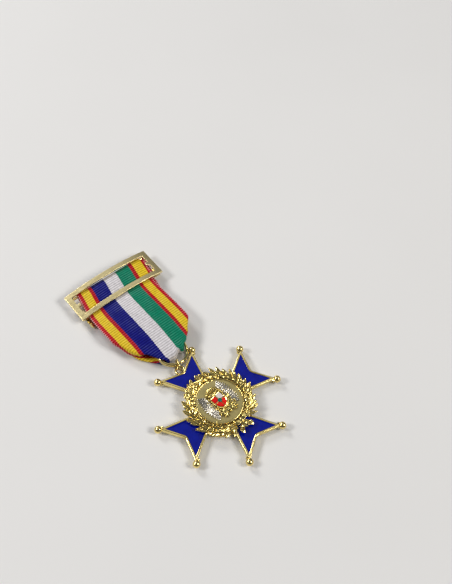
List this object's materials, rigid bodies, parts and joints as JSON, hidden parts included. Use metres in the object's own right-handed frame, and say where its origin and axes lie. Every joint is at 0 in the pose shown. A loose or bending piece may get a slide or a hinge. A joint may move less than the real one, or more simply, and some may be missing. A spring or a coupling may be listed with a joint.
{
  "type": "service medal",
  "caption": "Enamelled eight-pointed cross with a laurel wreath, hung by rings from a striped ribbon on a bent buckle bar with a brooch pin.",
  "frame": {"origin": "centre of the lowest face of the bounding box: the surface that the medal lies on, midway along and across it", "axes": "+Z out of the face of the medal, +Y from the cross towards the buckle, +X to the right of a person facing the medal"},
  "size_m": [0.0496, 0.0966, 0.006],
  "materials": {
    "gilt_metal": "polished and lightly worn gilt",
    "satin_gilt": "fine satin gilt",
    "silvered": "aged silver",
    "pin_steel": "plated spring steel",
    "blue_enamel": "glossy fired enamel",
    "red_enamel": "glossy fired enamel",
    "white_enamel": "glossy fired enamel",
    "green_enamel": "glossy fired enamel",
    "ribbon_cloth": "striped ribbed silk ribbon",
    "thread": "sewing thread"
  },
  "bodies": {
    "root": {"buckle_frame": "gilt_metal", "carrier_bar": "gilt_metal", "pin_plate": "gilt_metal", "plate_spacers": "gilt_metal", "hinge_bracket": "gilt_metal", "hinge_rivet": "pin_steel", "catch_body": "gilt_metal", "ribbon": "ribbon_cloth", "seam_thread": "thread"},
    "needle": {"needle": "pin_steel"},
    "catch_sleeve": {"catch_sleeve": "gilt_metal"},
    "split_ring": {"split_ring": "gilt_metal"},
    "jump_ring": {"jump_ring": "gilt_metal"},
    "pendant": {"cross_body": "gilt_metal", "eyelet": "gilt_metal", "enamel_top": "blue_enamel", "enamel_left": "blue_enamel", "enamel_bottom": "blue_enamel", "enamel_right": "blue_enamel", "reverse_disc": "satin_gilt", "fixing_rivets": "gilt_metal", "wreath_left": "gilt_metal", "wreath_right": "gilt_metal", "wreath_bow": "gilt_metal", "medallion": "satin_gilt", "medallion_rim": "gilt_metal", "wing_left": "silvered", "wing_right": "silvered", "shield": "gilt_metal", "shield_red": "red_enamel", "shield_white": "white_enamel", "shield_boss": "green_enamel", "coronet": "gilt_metal", "emblem_sprays": "gilt_metal"}
  },
  "joints": [
    {"name": "needle_swing", "type": "hinge", "parent": "root", "child": "needle", "pos_m": [0.01397, 0.03716, 0.0012], "axis": [0, -1, 0], "range_deg": [0, 75]},
    {"name": "catch_turn", "type": "hinge", "parent": "root", "child": "catch_sleeve", "pos_m": [-0.01573, 0.03716, 0.0012], "axis": [1, 0, 0], "range_deg": [0, 90]},
    {"name": "ring_turn", "type": "hinge", "parent": "root", "child": "split_ring", "pos_m": [-0.0008, 0.00346, 0.00333], "axis": [0, 0, 1], "range_deg": [-22, 2]},
    {"name": "jump_ring_swing", "type": "hinge", "parent": "split_ring", "child": "jump_ring", "pos_m": [-0.00231, -0.00204, 0.00333], "axis": [-0.9644, 0.2645, 0], "range_deg": [0, 80]},
    {"name": "pendant_swing", "type": "hinge", "parent": "jump_ring", "child": "pendant", "pos_m": [-0.0031, -0.00239, 0.0019], "axis": [-0.9893, -0.1459, 0], "range_deg": [-60, 20]}
  ]
}
